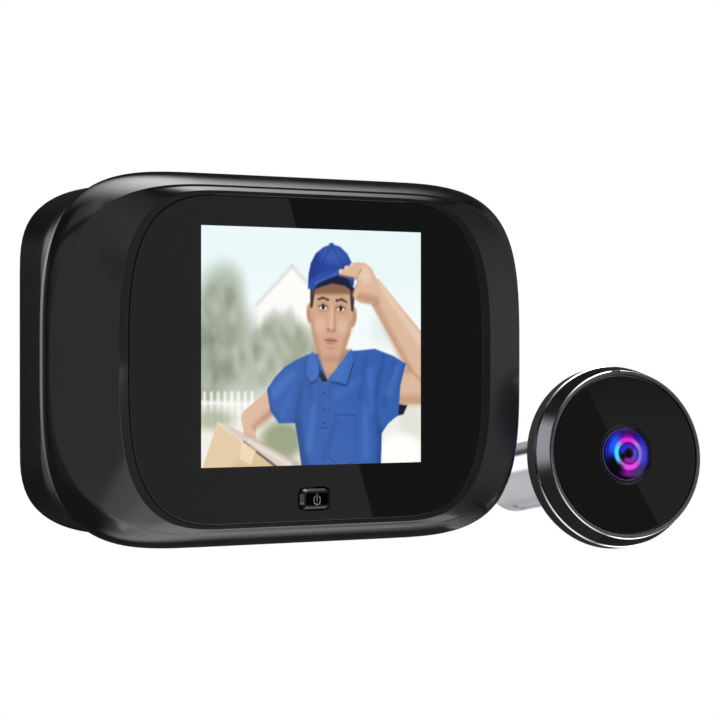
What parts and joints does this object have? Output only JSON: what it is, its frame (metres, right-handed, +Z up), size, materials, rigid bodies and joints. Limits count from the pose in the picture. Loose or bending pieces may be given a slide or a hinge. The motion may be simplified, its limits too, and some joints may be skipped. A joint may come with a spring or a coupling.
{
  "type": "peephole door camera",
  "caption": "Digital door viewer: a flat indoor monitor with a screen and a button hung on a door bracket, and a round outdoor camera on a chrome tube.",
  "frame": {"origin": "on the fixing bolt's axis, at the door's inner face, where the bracket's pads lie", "axes": "+Z up, the monitor's screen faces -Y, the door lies on the +Y side, +X to the right of someone who looks at the screen"},
  "size_m": [0.1738, 0.0551, 0.0713],
  "materials": {
    "black_plastic": "fine satin moulding",
    "gloss_black": "polished moulding",
    "cover_glass": "black-printed gloss glass",
    "lens_glass": "coated lens glass",
    "display_cell": "gloss",
    "backlight": "white film",
    "foam_tape": "matt foam",
    "seal_rubber": "matt",
    "board_green": "satin solder mask",
    "chip_black": "matt",
    "socket_white": "satin",
    "film_amber": "gloss film",
    "cell_wrap": "gloss sleeve",
    "spring_steel": "bright",
    "screw_steel": "bright zinc",
    "bracket_steel": "brushed",
    "lead_red": "satin insulation",
    "pad_white": "matt foam",
    "dark_aluminium": "dark anodised, satin",
    "grey_aluminium": "grey anodised, satin",
    "tube_chrome": "polished"
  },
  "bodies": {
    "bracket": {"door_bracket": "bracket_steel", "adhesive_pads": "pad_white"},
    "power_button": {"power_button": "gloss_black"},
    "switch_plunger": {"switch_plunger": "socket_white"},
    "battery_door": {"battery_door": "black_plastic"},
    "fixing_bolt": {"fixing_bolt": "screw_steel", "bolt_washer": "screw_steel"},
    "outdoor": {"camera_base": "dark_aluminium", "camera_housing": "dark_aluminium", "trim_ring": "grey_aluminium", "face_glass": "cover_glass", "lens_dome": "lens_glass", "lens_barrel": "chip_black", "lens_elements": "lens_glass", "lens_stop": "chip_black", "sensor_board": "board_green", "image_sensor": "chip_black", "cable_connector": "socket_white", "door_tube": "tube_chrome", "door_gasket": "seal_rubber", "camera_screws": "screw_steel"},
    "monitor": {"front_bezel": "black_plastic", "screen_window": "cover_glass", "window_adhesive": "foam_tape", "lcd_tape": "foam_tape", "lcd_panel": "display_cell", "lcd_backlight": "backlight", "lcd_flex": "film_amber", "flex_connector": "socket_white", "tact_switch": "chip_black", "main_board": "board_green", "board_chips": "chip_black", "camera_socket": "socket_white", "board_screws": "screw_steel", "case_screws": "screw_steel", "rear_cover": "black_plastic", "battery_cells": "cell_wrap", "battery_springs": "spring_steel", "battery_contacts": "spring_steel", "battery_leads": "lead_red"}
  },
  "joints": [
    {"name": "monitor_lift", "type": "slide", "parent": "bracket", "child": "monitor", "axis": [0, 0, 1], "range_m": [0, 0.004]},
    {"name": "button_press", "type": "slide", "parent": "monitor", "child": "power_button", "axis": [0, 1, 0], "range_m": [0, 0.0005], "stiffness_N_per_m": 2000, "springref_m": -0.0002},
    {"name": "plunger_press", "type": "slide", "parent": "monitor", "child": "switch_plunger", "axis": [0, 1, 0], "range_m": [0, 0.0005]},
    {"name": "battery_door_hinge", "type": "hinge", "parent": "monitor", "child": "battery_door", "pos_m": [-0.0129, -0.0024, 0], "axis": [0, 0, -1], "range_deg": [0, 35]},
    {"name": "bolt_turn", "type": "hinge", "parent": "bracket", "child": "fixing_bolt", "pos_m": [0, 0, 0], "axis": [0, 1, 0], "continuous": true},
    {"name": "outdoor_draw", "type": "slide", "parent": "bracket", "child": "outdoor", "axis": [-0.3718, -0.9203, 0.1219], "range_m": [0, 0.03]}
  ],
  "couplings": [
    {"joint": "plunger_press", "follows": "button_press", "ratio": 1}
  ]
}
